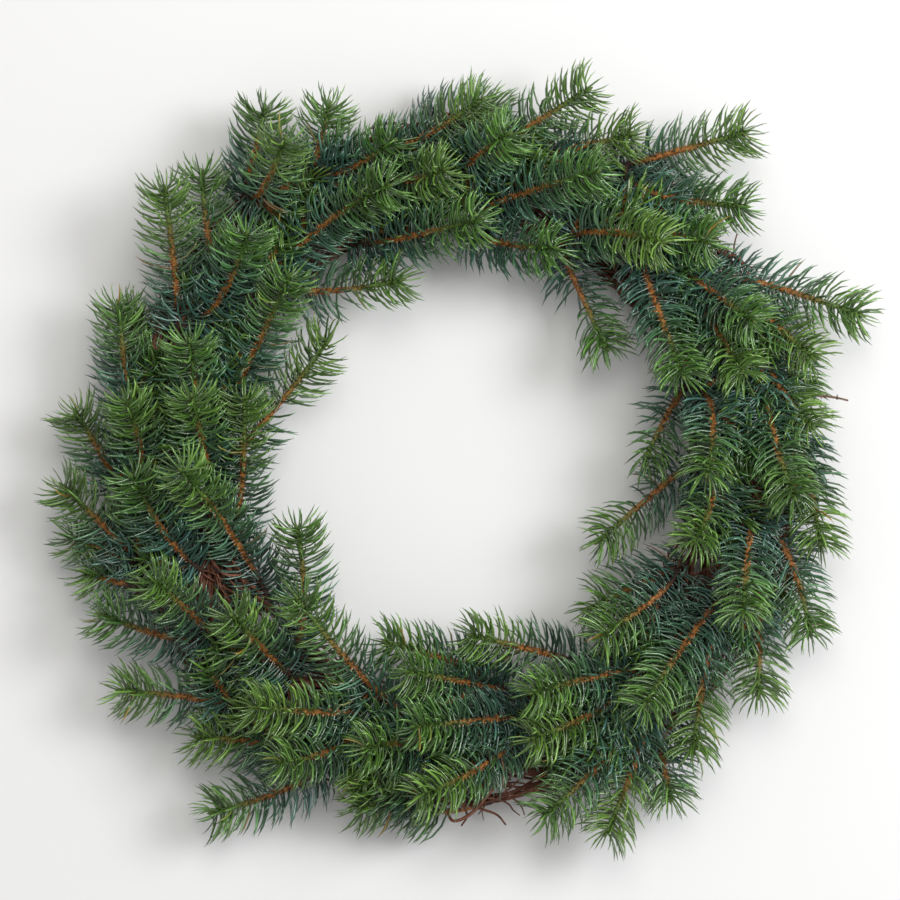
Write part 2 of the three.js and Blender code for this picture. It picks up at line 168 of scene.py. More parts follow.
def sweep_path(bm, path, radii, sides, closed=False):
    """A rod along a path of points. A closed one's bark runs half way round and back, so it has no seam."""
    sections = []
    distances = []
    run = 0
    for i, centre in enumerate(path):
        after = path[(i + 1) % len(path)] if closed or i + 1 < len(path) else centre
        before = path[i - 1] if closed or i else centre
        sections.append(section_at(centre, (after - before).normalized(), radii[i]))
        distances.append(run)
        run += (after - centre).length
    if closed:
        distances = [min(distance, run - distance) for distance in distances]
    sweep(bm, sections, distances, sides, closed)


def finished(bm, name, material):
    """Brings a piece from millimetres to metres, and makes it an object that rides on the part."""
    bmesh.ops.recalc_face_normals(bm, faces=bm.faces)
    bmesh.ops.scale(bm, vec=(METRES, METRES, METRES), verts=bm.verts)
    for face in bm.faces:
        face.smooth = True
    mesh = bpy.data.meshes.new(name)
    bm.to_mesh(mesh)
    bm.free()
    mesh.materials.append(material)
    piece = bpy.data.objects.new(name, mesh)
    bpy.context.collection.objects.link(piece)
    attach(piece, "root")
    return piece


def new_material(name, values):
    """A material whose shader has these values on the sockets that they are named after."""
    material = bpy.data.materials.new(name)
    material.use_nodes = True
    nodes = material.node_tree.nodes
    shader = nodes["Principled BSDF"]
    for socket, value in values.items():
        shader.inputs[socket].default_value = value
    return material, nodes, material.node_tree.links, shader


def add_node(nodes, kind, **values):
    node = nodes.new(kind)
    for key, value in values.items():
        setattr(node, key, value)
    return node


def add_noise(nodes, links, place, scale, detail=2, roughness=0.5):
    noise = nodes.new("ShaderNodeTexNoise")
    noise.inputs["Scale"].default_value = scale
    noise.inputs["Detail"].default_value = detail
    noise.inputs["Roughness"].default_value = roughness
    links.new(place, noise.inputs["Vector"])
    return noise.outputs["Fac"]


def make_bark_grain():
    """Shared by the vines and the twigs: streaks along the stem, and the ridges and cracks between them."""
    tree = bpy.data.node_groups.new("bark grain", "ShaderNodeTree")
    face = tree.interface
    face.new_socket("Place", in_out="INPUT", socket_type="NodeSocketVector")
    face.new_socket("Streak length", in_out="INPUT", socket_type="NodeSocketFloat")
    face.new_socket("Streak", in_out="OUTPUT", socket_type="NodeSocketFloat")
    face.new_socket("Height", in_out="OUTPUT", socket_type="NodeSocketFloat")
    nodes, links = tree.nodes, tree.links
    given = nodes.new("NodeGroupInput")
    given_out = nodes.new("NodeGroupOutput")
    parts = nodes.new("ShaderNodeSeparateXYZ")
    links.new(given.outputs["Place"], parts.inputs[0])
    along = add_node(nodes, "ShaderNodeMath", operation="DIVIDE")
    links.new(parts.outputs["Z"], along.inputs[0])
    links.new(given.outputs["Streak length"], along.inputs[1])
    place = nodes.new("ShaderNodeCombineXYZ")
    links.new(parts.outputs["X"], place.inputs["X"])
    links.new(parts.outputs["Y"], place.inputs["Y"])
    links.new(along.outputs[0], place.inputs["Z"])
    streak = add_noise(nodes, links, place.outputs[0], 1.6, detail=4)
    crack = add_noise(nodes, links, place.outputs[0], 4.5, detail=5, roughness=0.65)
    height = add_node(nodes, "ShaderNodeMath", operation="ADD")
    links.new(streak, height.inputs[0])
    links.new(crack, height.inputs[1])
    links.new(streak, given_out.inputs["Streak"])
    links.new(height.outputs[0], given_out.inputs["Height"])
    return tree


bark_grain = make_bark_grain()


def add_bark(nodes, links, streak_length):
    """The bark grain, placed by what sweep() noted on the piece."""
    place = add_node(nodes, "ShaderNodeAttribute", attribute_name="grain")
    grain = add_node(nodes, "ShaderNodeGroup", node_tree=bark_grain)
    grain.inputs["Streak length"].default_value = streak_length
    links.new(place.outputs["Vector"], grain.inputs["Place"])
    return grain


def add_ramp(nodes, links, value, stops):
    """Turns a value into a colour, by stops that each hold a position and its colour."""
    ramp = nodes.new("ShaderNodeValToRGB")
    elements = ramp.color_ramp.elements
    while len(elements) < len(stops):
        elements.new(0.5)
    for element, (position, colour) in zip(elements, stops):
        element.position = position
        element.color = (*colour, 1)
    links.new(value, ramp.inputs[0])
    return ramp.outputs[0]


def add_bump(nodes, links, height, shader, strength, distance):
    bump = nodes.new("ShaderNodeBump")
    bump.inputs["Strength"].default_value = strength
    bump.inputs["Distance"].default_value = distance
    links.new(height, bump.inputs["Height"])
    links.new(bump.outputs[0], shader.inputs["Normal"])


def vine_bark(name, shades):
    material, nodes, links, shader = new_material(name, {"Roughness": 0.72})
    grain = add_bark(nodes, links, VINE_STREAKS)
    links.new(add_ramp(nodes, links, grain.outputs["Streak"], shades), shader.inputs["Base Color"])
    add_bump(nodes, links, grain.outputs["Height"], shader, strength=0.8, distance=0.0006)
    return material


def sweep_rope(bm, lay, strand):
    """The vines of one rope, twisted round its middle line and swelling here and there."""
    angles = [FULL_TURN * step / VINE_STEPS for step in range(VINE_STEPS)]
    sections = []
    for angle in angles:
        along = strand_point(lay, strand, angle + 0.01) - strand_point(lay, strand, angle - 0.01)
        sections.append(section_at(strand_point(lay, strand, angle), along.normalized(), 1))
    for vine in range(ROPE_VINES):
        phase = FULL_TURN * vine / ROPE_VINES
        path = []
        radii = []
        for section, angle in zip(sections, angles):
            turn = phase + ROPE_TURNS * angle + ROPE_SLACK * math.sin(SLACK_WAVES * angle + phase)
            path.append(section @ Vector((ROPE_OFFSET * math.cos(turn), ROPE_OFFSET * math.sin(turn), 0)))
            swelling = SWELLING * math.sin(SWELLING_WAVES * angle + phase)
            radii.append(VINE_RADIUS * (1 + swelling + KNOTS * math.sin(KNOT_WAVES * angle)))
        sweep_path(bm, path, radii, VINE_SIDES, closed=True)


def sweep_thin_vine(bm, vine):
    """A single vine, wound in a loose screw along part of the ring and thinning towards its end."""
    start, reach = random.uniform(0, FULL_TURN), random.uniform(*THIN_VINE_REACH)
    turns = random.choice(THIN_VINE_TURNS)
    out, rise = random.uniform(*THIN_VINE_OUT), random.uniform(*THIN_VINE_RISE)
    thick = random.uniform(*THIN_VINE_RADIUS)
    path = []
    radii = []
    for step in range(THIN_VINE_STEPS + 1):
        angle = start + reach * step / THIN_VINE_STEPS
        turn = vine + turns * angle
        wander = 1 + WANDER * math.sin(WANDER_WAVES * angle + vine)
        path.append(ring_point(angle, wander * out * math.cos(turn), RING_HEIGHT + rise * math.sin(turn)))
        radii.append(thick * (1 - THIN_VINE_TAPER * step / THIN_VINE_STEPS))
    sweep_path(bm, path, radii, THIN_VINE_SIDES)


def stray_way(draw):
    """A way that a stray end may take, more along the bundle's top than up or down."""
    return Vector((draw.gauss(0, 1), draw.gauss(0, 1), draw.gauss(0, STRAY_STEEPNESS))).normalized()


def sweep_stray(bm, draw, place, heading, kind):
    """A short thin side shoot of a vine, or a torn strip of its bark, that wanders over the bundle."""
    lowest, highest = STRAY_HEIGHTS
    points = [place]
    for _ in range(STRAY_STEPS):
        heading = (heading + kind["wander"] * stray_way(draw)).normalized()
        place = place + heading * draw.uniform(*kind["reach"])
        place.z = min(max(place.z, lowest), highest)
        points.append(place)
    path = smooth_path(points, STRAY_STEPS)
    sweep_path(bm, path, tapered(kind["radii"], len(path)), STRAY_SIDES)


vines = bmesh.new()
for lay in (OUTER_LAY, INNER_LAY):
    for strand in range(lay["strands"]):
        sweep_rope(vines, lay, strand)
for vine in range(THIN_VINES):
    sweep_thin_vine(vines, vine)
for _ in range(TENDRILS):
    angle, out = random.uniform(0, FULL_TURN), random.uniform(*TENDRIL_OUT)
    place = ring_point(angle, out, RING_HEIGHT + random.uniform(*TENDRIL_RISE))
    sweep_stray(vines, random, place, stray_way(random), TENDRIL)
for spot in FRAYED_SPOTS:
    for _ in range(FRAYED_ENDS):
        place = Vector(spot) + FRAYED_SPREAD * stray_way(fray) - FRAYED_SINK * UP
        along = fray.choice((-1, 1)) * UP.cross(place).normalized()
        sweep_stray(vines, fray, place, along, FRAYED_END)
for points in LOOSE_VINES:
    path = smooth_path(points, LOOSE_VINE_STEPS)
    sweep_path(vines, path, tapered(LOOSE_VINE_RADII, len(path)), VINE_SIDES)
vine_piece = finished(vines, "vines", vine_bark("vine bark", RED_BARK))
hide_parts("vine_ring")

# One bare shoot of the vine, the dead end of a cutting, sticks out on the right between the sprays. It has
# lost its leaves and kept two buds.
SHOOT = [(166, 36, 24), (183, 36, 28), (196, 36, 30.5), (205, 35, 30.5), (212, 33.4, 30)]
SHOOT_STEPS = 6
SHOOT_RADII = (0.95, 0.5)
SHOOT_SIDES = 7
BUDS = [((206, 35.4, 31), (-0.1, 0.9, 0.5)), ((197, 35.4, 31), (0.5, -0.8, 0.4))]
BUD_SIZE = {"radius1": 0.75, "radius2": 0.2, "depth": 2.8}
DRY_BARK = [(0.3, (0.1, 0.05, 0.03)), (0.5, (0.22, 0.13, 0.09)), (0.75, (0.42, 0.29, 0.22))]

bare = bmesh.new()
bare_path = smooth_path(SHOOT, SHOOT_STEPS)
sweep_path(bare, bare_path, tapered(SHOOT_RADII, len(bare_path)), SHOOT_SIDES)
for bud_middle, bud_way in BUDS:
    section = section_at(Vector(bud_middle), Vector(bud_way).normalized(), 1)
    bmesh.ops.create_cone(bare, cap_ends=True, segments=SHOOT_SIDES, matrix=section, **BUD_SIZE)
finished(bare, "bare_shoot", vine_bark("dry shoot bark", DRY_BARK))

# The binding wire: florist's green-lacquered steel, 1.4 mm thick, pulled tight round the bundle in fifteen
# turns. It carries the sprays' feet and lies flat where the wreath stands on it.
WIRE_TURNS = 15
WIRE_RADIUS = 0.7
WIRE_SIDES = 8
WIRE_HALF_WIDTH = 34.6
WIRE_HALF_HEIGHT = 18.4
WIRE_FIRST_ANGLE = math.radians(19)
WIRE_FIRST_TURN = 1.5 / 8
WIRE_STEPS_A_TURN = 24
LACQUER = [(0.45, (0.012, 0.035, 0.016)), (0.66, (0.03, 0.07, 0.035)), (0.74, (0.2, 0.2, 0.19))]


def wire_path():
    path = []
    steps = WIRE_TURNS * WIRE_STEPS_A_TURN
    for step in range(steps):
        turn = FULL_TURN * (step / WIRE_STEPS_A_TURN - WIRE_FIRST_TURN)
        angle = WIRE_FIRST_ANGLE + FULL_TURN * step / steps
        height = RING_HEIGHT + WIRE_HALF_HEIGHT * math.sin(turn)
        path.append(ring_point(angle, WIRE_HALF_WIDTH * math.cos(turn), max(height, WIRE_RADIUS)))
    return path


def green_lacquer():
    values = {"Metallic": 0.35, "Roughness": 0.38}
    material, nodes, links, shader = new_material("green lacquered wire", values)
    place = nodes.new("ShaderNodeTexCoord").outputs["Object"]
    wear = add_noise(nodes, links, place, 260, detail=4)
    links.new(add_ramp(nodes, links, wear, LACQUER), shader.inputs["Base Color"])
    add_bump(nodes, links, wear, shader, strength=0.3, distance=0.0002)
    return material


wire = bmesh.new()
wire_points = wire_path()
sweep_path(wire, wire_points, [WIRE_RADIUS] * len(wire_points), WIRE_SIDES, closed=True)
wire_piece = finished(wire, "wire", green_lacquer())
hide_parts("binding_wire")

# The spruce twigs: each spray is a cutting of one or two tips on a forked stem, with short shoots low on its
# sides, its foot pushed in between the vines and wired down. The bark is orange-brown, weathered dark near
# the foot and green on the new shoot's end.
SETBACK = 11
FOOT_RISE = 6
FORK_LENGTH, FORK_SHARE = 10, 0.4
TWIG_ROOT_RADIUS = 1.8
TWIG_TIP_RADIUS = 1.15
TWIG_STEP = 3
TWIG_SIDES = 8
WHORLS, WHORL_WAVES = 0.1, 2.4
KNOBS, KNOB_WAVES = 0.06, 0.9
TIP_BUD = [(1.6, 1.05), (3.2, 0.8), (4.4, 0.25)]
CURVE_STEPS = 100
BUNDLE_HALF_WIDTH = 31
BUNDLE_HALF_HEIGHT = 16
SPRAYS = [
    [(-176, 18, -184, 84, 40)],
    [(-185, -8, -207, 26, 30), (-161, -12, -178, 31, 58)],
    [(-176, -50, -213, -14, 38), (-168, -60, -210, -41, 22)],
    [(-152, -55, -174, -9, 64)],
    [(-142, 25, -144, 63, 62), (-120, 38, -91, 98, 66)],
    [(-135, -5, -142, 34, 72), (-98, 28, -70, 66, 38)],
    [(-118, -40, -147, -5, 80, -103, -84)],
    [(-116, -34, -115, 33, 55)],
    [(-149, 74, -158, 146, 52), (-127, 76, -113, 121, 72)],
    [(-134, 100, -139, 155, 34)],
    [(-114, 150, -105, 190, 36), (-110, 130, -93, 172, 66)],
    [(-78, 155, -70, 192, 34), (-66, 150, -36, 172, 54)],
    [(-71, 135, -38, 147, 74, -106, 86), (-84, 87, -32, 98, 44)],
    [(-36, 162, 12, 195, 48), (-42, 143, -8, 156, 70)],
    [(18, 170, 69, 200, 48), (-8, 152, 26, 175, 70)],
    [(8, 139, 73, 155, 72), (8, 117, 51, 115, 60)],
    [(-50, 116, 10, 129, 72)],
    [(54, 168, 92, 176, 50)],
    [(56, 111, 80, 63, 42), (64, 131, 108, 118, 72)],
    [(92, 161, 154, 178, 40), (84, 143, 154, 138, 46)],
    [(150, 104, 217, 80, 38), (166, 80, 191, 57, 44)],
    [(106, 127, 133, 118, 62), (100, 102, 120, 47, 70)],
    [(126, 100, 157, 76, 68), (136, 75, 153, 48, 66)],
    [(164, 50, 190, 20, 48), (163, 28, 180, -18, 66)],
    [(118, 36, 101, 1, 42), (145, 42, 133, -5, 74)],
    [(122, -3, 77, -42, 40, 130, 3), (149, -9, 126, -42, 70)],
    [(187, 14, 196, -44, 44)],
    [(157, -32, 152, -80, 76), (181, -38, 191, -92, 36)],
    [(118, -58, 71, -79, 38), (122, -66, 77, -93, 60)],
    [(138, -74, 99, -130, 72), (135, -98, 127, -156, 46)],
    [(164, -82, 163, -125, 36)],
    [(106, -145, 81, -199, 42), (98, -147, 47, -190, 52)],
    [(92, -110, 41, -123, 70), (88, -134, 40, -148, 62)],
    [(22, -122, -26, -113, 60), (10, -110, -38, -98, 38)],
    [(58, -106, 8, -94, 42)],
    [(35, -139, -22, -141, 72), (38, -158, -20, -179, 58)],
    [(-22, -182, -55, -187, 30)],
    [(-15, -148, -49, -153, 66), (-52, -122, -86, -73, 68)],
    [(-52, -139, -109, -131, 68), (-56, -159, -96, -161, 60)],
    [(-92, -181, -132, -190, 32, -72, -172)],
    [(-95, -112, -120, -83, 72), (-78, -85, -87, -37, 42)],
    [(-124, -129, -182, -124, 32)],
    [(-98, -152, -141, -149, 34)],
    [(-132, -91, -162, -64, 72, -126, -95), (-142, -103, -192, -83, 42)],
]
SIDE_SHOOTS = [(0.1, 28, 30), (0.32, 32, 26)]
SIDE_TURN_SPREAD = 9
SIDE_LENGTH_SPREAD = (0.85, 1.15)
SIDE_RISE = (1, 6)
SIDE_SHOOTS_WITHIN = 25
SHOOT_ARCH = 2
OUTER_SHOOTS = {3: ((-174, -68, 34), (-201, -61, 26)), 32: ((109, -150, 34), (115, -182, 30))}
BARE_SPOTS = [(-126, -58, 22), (20, -184, 22), (122, -64, 16)]
LOW_ANGLES = [25, 61, 97, 133, 169, 205, 241, 277, 313, 349]
LOW_ROOT = {"radius": 178, "height": 12}
LOW_END = {"radius": 191, "height": 19, "ahead": 0.24}
LOW_BELLY = 3
TWIG_STREAKS = 3
TWIG_BARK = [(0.3, (0.09, 0.03, 0.006)), (0.5, (0.3, 0.11, 0.02)), (0.7, (0.54, 0.24, 0.06))]
OLD_BARK, OLD_WOOD = (0.035, 0.014, 0.007), (0.16, 0.36)
GREEN_BARK, GREEN_WOOD = (0.1, 0.17, 0.03), (0.55, 0.85)
MIX_SHARE, MIX_FIRST, MIX_SECOND, MIX_RESULT = 0, 6, 7, 2


def bundle_top(x, y):
    across = min(1, abs(math.hypot(x, y) - RING_RADIUS) / (BUNDLE_HALF_WIDTH + 1))
    return RING_HEIGHT + (BUNDLE_HALF_HEIGHT + 1) * math.sqrt(1 - across * across)


def nearest_vine(place):
    angle = math.atan2(place.y, place.x)
    strands = [(lay, strand) for lay in (OUTER_LAY, INNER_LAY) for strand in range(lay["strands"])]
    return min((strand_point(*strand, angle) for strand in strands), key=lambda point: (point - place).length)


class Twig:
    """A tip's curve from its root past its foot to its end, measured along its length."""

    def __init__(self, root, foot, end):
        self.root, self.foot, self.end = root, foot, end
        self.reach = [0]
        for step in range(1, CURVE_STEPS + 1):
            piece = self.place(step / CURVE_STEPS) - self.place((step - 1) / CURVE_STEPS)
            self.reach.append(self.reach[-1] + piece.length)
        self.length = self.reach[-1]

    def place(self, t):
        return self.root * (1 - t) ** 2 + self.foot * 2 * t * (1 - t) + self.end * t * t

    def frame_at(self, distance):
        """The centre, the way along, to the side and up, at a distance from the root."""
        step = next((i for i in range(1, CURVE_STEPS) if self.reach[i] >= distance), CURVE_STEPS)
        span = self.reach[step] - self.reach[step - 1]
        t = (step - 1 + min(1, (distance - self.reach[step - 1]) / span)) / CURVE_STEPS
        along = ((self.foot - self.root) * (1 - t) + (self.end - self.foot) * t).normalized()
        side = along.cross(UP).normalized()
        return self.place(t), along, side, side.cross(along)


def set_back(foot_x, foot_y, end_x, end_y):
    back = Vector((foot_x - end_x, foot_y - end_y)).normalized() * SETBACK
    return foot_x + back.x, foot_y + back.y


def make_twig(row, fork):
    """A tip from its foot's x and y, its end's x, y and z and, for a few, its root's x and y."""
    foot_x, foot_y, end_x, end_y, end_z, *root = row
    x, y = root or set_back(foot_x, foot_y, end_x, end_y)
    foot = Vector((foot_x, foot_y, bundle_top(foot_x, foot_y) + FOOT_RISE))
    return Twig(fork or nearest_vine(Vector((x, y, bundle_top(x, y)))), foot, Vector((end_x, end_y, end_z)))


def make_low_twig(low_angle):
    """A spray on the ring's outer flank, below the ones that show from above."""
    angle = math.radians(low_angle)
    out = LOW_END["radius"] - RING_RADIUS
    root = nearest_vine(ring_point(angle, LOW_ROOT["radius"] - RING_RADIUS, LOW_ROOT["height"]))
    middle = ring_point(angle - LOW_END["ahead"] / 2, out + LOW_BELLY, LOW_ROOT["height"])
    return Twig(root, middle, ring_point(angle - LOW_END["ahead"], out, LOW_END["height"]))


def side_shoot(twig, share, length, turn):
    """A short shoot low on a twig, leaning over the bundle towards its middle line."""
    start, along, _, _ = twig.frame_at(share * twig.length)
    inward = Vector((start.x, start.y, 0)).normalized() * (RING_RADIUS - math.hypot(start.x, start.y))
    way = 1 if along.cross(inward).z > 0 else -1
    turned = math.radians(turn + random.uniform(-SIDE_TURN_SPREAD, SIDE_TURN_SPREAD))
    heading = Quaternion(UP, way * turned) @ Vector((along.x, along.y, 0))
    end = start + heading.normalized() * length * random.uniform(*SIDE_LENGTH_SPREAD)
    end.z = bundle_top(end.x, end.y) + random.uniform(*SIDE_RISE)
    middle = (start + end) / 2
    middle.z = max(start.z, end.z) + SHOOT_ARCH
    return Twig(start, middle, end)


def wanted(shoot):
    """Whether a shoot stays over the bundle, and off the few spots where the wreath shows its vines."""
    if abs(shoot.end.to_2d().length - RING_RADIUS) > SIDE_SHOOTS_WITHIN:
        return False
    for x, y, radius in BARE_SPOTS:
        if any((place.to_2d() - Vector((x, y))).length <= radius for place in (shoot.foot, shoot.end)):
            return False
    return True


def outer_shoot(start, end):
    """A shoot that fills the wreath's outer edge between two tips."""
    start, end = Vector(start), Vector(end)
    return Twig(start, (start + end) / 2 + SHOOT_ARCH * UP, end)


picks = []
for number, rows in enumerate(SPRAYS, 1):
    first = make_twig(rows[0], None)
    fork = first.frame_at(min(FORK_SHARE * first.length, FORK_LENGTH))[0]
    tips = [first, *(make_twig(row, fork) for row in rows[1:])]
    shoots = [side_shoot(tip, *shoot) for tip in tips for shoot in SIDE_SHOOTS]
    picks.append(tips + [shoot for shoot in shoots if wanted(shoot)])
    if number in OUTER_SHOOTS:
        picks[-1].append(outer_shoot(*OUTER_SHOOTS[number]))
picks += [[make_low_twig(low_angle)] for low_angle in LOW_ANGLES]


def sweep_twig(bm, twig):
    """A tapering stem with a swelling under each whorl of pegs, and a blunt bud on its end."""
    count = round(twig.length / TWIG_STEP)
    sections = []
    distances = []
    for step in range(count + 1):
        distance = twig.length * step / count
        centre, along, _, _ = twig.frame_at(distance)
        share = distance / twig.length
        radius = TWIG_ROOT_RADIUS + (TWIG_TIP_RADIUS - TWIG_ROOT_RADIUS) * share
        whorl = WHORLS * math.sin(WHORL_WAVES * distance)
        knob = whorl + KNOBS * math.sin(KNOB_WAVES * distance + twig.end.x)
        sections.append(section_at(centre, along, radius * (1 + knob)))
        distances.append(distance)
    centre, along, _, _ = twig.frame_at(twig.length)
    for reach, radius in TIP_BUD:
        sections.append(section_at(centre + along * reach, along, radius))
        distances.append(twig.length + reach)
    start = len(bm.verts)
    sweep(bm, sections, distances, TWIG_SIDES)
    bm.verts.ensure_lookup_table()
    growth = bm.verts.layers.float.get("growth") or bm.verts.layers.float.new("growth")
    grain = bm.verts.layers.float_vector["grain"]
    for vert in bm.verts[start:]:
        vert[growth] = vert[grain].z / twig.length


def add_step(nodes, links, value, low_and_high, ends=(0, 1)):
    """Goes evenly from the first of its ends to the second while a value goes from low to high."""
    step = nodes.new("ShaderNodeMapRange")
    step.inputs["From Min"].default_value, step.inputs["From Max"].default_value = low_and_high
    step.inputs["To Min"].default_value, step.inputs["To Max"].default_value = ends
    links.new(value, step.inputs["Value"])
    return step.outputs[0]


def add_mix(nodes, links, first, second, share=1, blend="MIX"):
    """Lays a share of the second colour over the first. Each is another node's socket, or plain numbers."""
    mix = add_node(nodes, "ShaderNodeMix", data_type="RGBA", blend_type=blend)
    for socket, given in ((MIX_SHARE, share), (MIX_FIRST, first), (MIX_SECOND, second)):
        if isinstance(given, bpy.types.NodeSocket):
            links.new(given, mix.inputs[socket])
        else:
            mix.inputs[socket].default_value = given
    return mix.outputs[MIX_RESULT]


def twig_bark():
    material, nodes, links, shader = new_material("spruce twig bark", {"Roughness": 0.6})
    grain = add_bark(nodes, links, TWIG_STREAKS)
    growth = add_node(nodes, "ShaderNodeAttribute", attribute_name="growth").outputs["Fac"]
    bark = add_ramp(nodes, links, grain.outputs["Streak"], TWIG_BARK)
    weathered = add_mix(nodes, links, (*OLD_BARK, 1), bark, add_step(nodes, links, growth, OLD_WOOD))
    young = add_step(nodes, links, growth, GREEN_WOOD)
    colour = add_mix(nodes, links, weathered, (*GREEN_BARK, 1), young)
    links.new(colour, shader.inputs["Base Color"])
    add_bump(nodes, links, grain.outputs["Height"], shader, strength=0.7, distance=0.0004)
    return material


twig_material = twig_bark()
for number, pick in enumerate(picks, 1):
    stems = bmesh.new()
    for twig in pick:
        sweep_twig(stems, twig)
    piece = finished(stems, f"twig_{number:02}", twig_material)
    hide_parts(f"spray_{number:02}")

# The needles: stiff, four-sided and curved towards the tip, each on a small woody peg. They stand all round
# the shoot's end as a full crown, and are combed to the sides lower down, where the twig shows between them.
# They are waxy, yellow-green at the crowns and blue-green lower down, and a very few are dead and brown. A
# share of the needles is painted paler and whitish all along, as painted glints.
NEEDLES_A_MM = 2.3
THINNER_OUTSIDE = 0.3
OUTSIDE = (20, 45)
NEEDLES_FROM = 3
CROWN_NEEDLES = 26
CROWN_DEPTH = 12
CROWN_PAST_END = 1.5
CROWN_CROWDING = 1.3
ROSETTE_DEPTH = 1
GOLDEN_ANGLE = math.radians(137.508)
TURN_SPREAD = 0.25
CROWN_LENGTH, BASE_LENGTH = 19.5, 22
BASE_LENGTH_FROM = 0.6
LENGTH_SPREAD = (0.86, 1.08)
CROWN_LEAN, BASE_LEAN = 54, 64
LEAN_SPREAD = 7
LEAST_LEAN = 4
ROSETTE_LEANS = (5, 66)
MIDDLE_SHARE = 0.7
PARTING = math.radians(31)
PARTED = (0.42, 0.74)
STRAY_SHARE = 0.36
FLATNESS = 0.6
ROLL_SPREAD = 0.1
CURL_SPREAD = 0.28
PEG_REACH = 0.8
FLOOR_CLEARANCE = 1
BENDS = (28, 38, 48, 58, 70)
SLENDER = 0.86
GIRTHS = {0: 0.05, 0.06: 0.03, 0.36: 0.0355, 0.72: 0.03, 1: 0}
KEPT_CLEAR = [(-57, -74, 61, 78), (-85, -20, 88, 30), (-20, -216, 22, -196)]
AGES = [(0.45, (0.065, 0.15, 0.108)), (0.72, (0.064, 0.16, 0.074)), (1.0, (0.104, 0.224, 0.034))]
PATCHES, TIP_SHARE = 0.25, 0.2
# Each needle's own tone, darker or lighter at random. The whitish ones near the top of the range are painted
# glints, and the very last are dead and brown.
TONES_AND_PAINTED_GLINTS = [(0.0, (0.4, 0.42, 0.44)), (0.5, (0.84, 0.86, 0.86)), (0.84, (1.15, 1.15, 1.2)),
         (0.93, (1.9, 1.75, 2.1)), (0.992, (2.1, 1.9, 2.4)), (0.9975, (3.4, 0.8, 0.6))]
TIP_TINTS = [(0.0, (0.8, 0.92, 0.95)), (0.5, (1, 1, 1)), (1.0, (1.18, 1.08, 0.95))]
LENGTHWISE = [(0.0, (0.6, 0.6, 0.6)), (0.3, (0.95, 0.95, 0.95)), (0.9, (1.15, 1.15, 1.05)),
              (1.0, (1.9, 1.5, 0.9))]
PEG_END = (0.03, 0.08)
PEGS_BROWN_TO = (0.55, 0.8)
PEG_WOOD = [(OLD_WOOD[0], OLD_BARK), (OLD_WOOD[1], (0.48, 0.2, 0.045))]
PEG_SPECKS = [(0.15, (0.3, 0.26, 0.25)), (0.75, (1.15, 1.15, 1.15))]
WAX = {"Roughness": 0.23, "Specular IOR Level": 1, "Coat Weight": 0.3, "Coat Roughness": 0.1}


def make_needle(bend, thickness):
    """One needle of length 1 along Z, thick at its peg and pointed, bent towards +X by so many degrees."""
    bm = bmesh.new()
    layer = bm.verts.layers.float_color.new("needle")
    standing = Matrix.Translation((0, 0, 0.5))
    bmesh.ops.create_cone(
        bm, cap_ends=True, segments=4, radius1=GIRTHS[0], radius2=0, depth=1, matrix=standing
    )
    for height in list(GIRTHS)[1:-1]:
        geom = [*bm.verts, *bm.edges, *bm.faces]
        bmesh.ops.bisect_plane(bm, geom=geom, plane_co=(0, 0, height), plane_no=(0, 0, 1))
    for vert in bm.verts:
        height = vert.co.z
        girth = thickness * min(GIRTHS.items(), key=lambda item: abs(item[0] - height))[1]
        rim = Vector((vert.co.x, vert.co.y)).normalized() * girth
        turn = math.radians(bend) * height
        radius = 1 / math.radians(bend)
        vert.co = (radius * (1 - math.cos(turn)), rim.y, radius * math.sin(turn))
        vert.co += Vector((math.cos(turn), 0, -math.sin(turn))) * rim.x
        vert[layer] = (height, 0, 0, 0)
    mesh = bpy.data.meshes.new("needle")
    bm.to_mesh(mesh)
    bm.free()
    return mesh


stout_needles = [(math.radians(bend), make_needle(bend, 1)) for bend in BENDS]
slender_needles = [(math.radians(bend), make_needle(bend, SLENDER)) for bend in BENDS]


def smoothstep(low, high, value):
    share = min(1, max(0, (value - low) / (high - low)))
    return share * share * (3 - 2 * share)


def kept_clear(place):
    """Whether a place is over the open middle, or over the vine ends that show at the bottom."""
    return any(x0 < place.x < x1 and y0 < place.y < y1 for x0, y0, x1, y1 in KEPT_CLEAR)


def hangs_out(twig):
    """From 0 for a tip over the bundle to 1 for one that ends well outside or inside the ring."""
    return smoothstep(*OUTSIDE, abs(twig.end.to_2d().length - RING_RADIUS))


def needle_places(twig):
    """How far from the root each needle stands: evenly up the twig, and close together at its end."""
    run = twig.length - NEEDLES_FROM
    count = round(run * (NEEDLES_A_MM - THINNER_OUTSIDE * hangs_out(twig)))
    places = [NEEDLES_FROM + run * (i + 0.5) / count for i in range(count)]
    top = twig.length + CROWN_PAST_END
    crown = [top - CROWN_DEPTH * (i / CROWN_NEEDLES) ** CROWN_CROWDING for i in range(CROWN_NEEDLES)]
    return places + crown


def combed_turn(angle, to_foot):
    """Where round the twig a needle points. Low ones part from the top, apart from a few stray ones."""
    from_top = (angle + math.pi / 2) % FULL_TURN - math.pi
    parting = 0 if random.random() < STRAY_SHARE else PARTING * smoothstep(*PARTED, to_foot)
    return math.copysign(parting + abs(from_top) * (1 - parting / math.pi), from_top) + math.pi / 2


def plant(foliage, kind, placed, layer, tones):
    """Adds one needle to the foliage, and notes its tones on it."""
    start = len(foliage.verts)
    needle = kind.copy()
    needle.transform(placed)
    foliage.from_mesh(needle)
    bpy.data.meshes.remove(needle)
    foliage.verts.ensure_lookup_table()
    for vert in foliage.verts[start:]:
        vert[layer] = (vert[layer][0], *tones)


